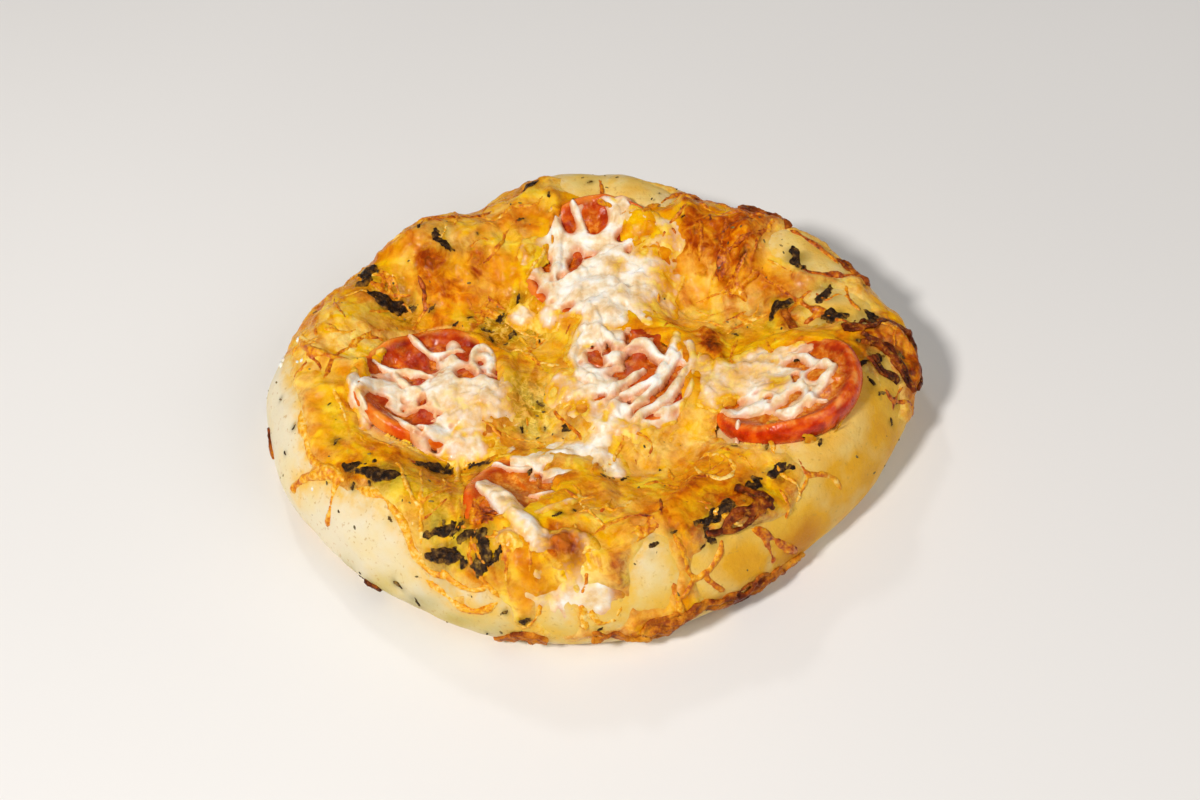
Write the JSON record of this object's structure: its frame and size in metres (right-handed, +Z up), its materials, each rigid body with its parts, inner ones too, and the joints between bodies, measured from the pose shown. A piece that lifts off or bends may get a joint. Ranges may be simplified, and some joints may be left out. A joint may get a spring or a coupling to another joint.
{
  "type": "focaccia",
  "caption": "Round dimpled focaccia, baked with tomato slices under melted white cheese, a golden cheese crust and dark herb leaves.",
  "frame": {"origin": "middle of the flat base that the loaf rests on", "axes": "+Z up out of the loaf, +X along its longer side, -Y towards the front side"},
  "size_m": [0.2008, 0.1785, 0.0394],
  "materials": {
    "crust": "matte",
    "golden_cheese": "satin",
    "tomato": "gloss",
    "white_cheese": "gloss",
    "herb": "matte"
  },
  "bodies": {
    "root": {"bread": "crust", "melted_cheese": "golden_cheese", "tomato_back": "tomato", "white_cheese_back": "white_cheese", "tomato_left": "tomato", "white_cheese_left": "white_cheese", "tomato_middle": "tomato", "white_cheese_middle": "white_cheese", "tomato_right": "tomato", "white_cheese_right": "white_cheese", "tomato_front": "tomato", "white_cheese_front": "white_cheese", "herb_leaf_1": "herb", "herb_leaf_2": "herb", "herb_leaf_3": "herb", "herb_leaf_4": "herb", "herb_leaf_5": "herb", "herb_leaf_6": "herb", "herb_leaf_7": "herb", "herb_leaf_8": "herb", "herb_leaf_9": "herb", "herb_leaf_10": "herb", "herb_leaf_11": "herb", "herb_leaf_12": "herb", "herb_leaf_13": "herb", "herb_leaf_14": "herb", "herb_leaf_15": "herb", "herb_leaf_16": "herb", "herb_leaf_17": "herb", "herb_leaf_18": "herb", "herb_leaf_19": "herb"}
  },
  "joints": []
}
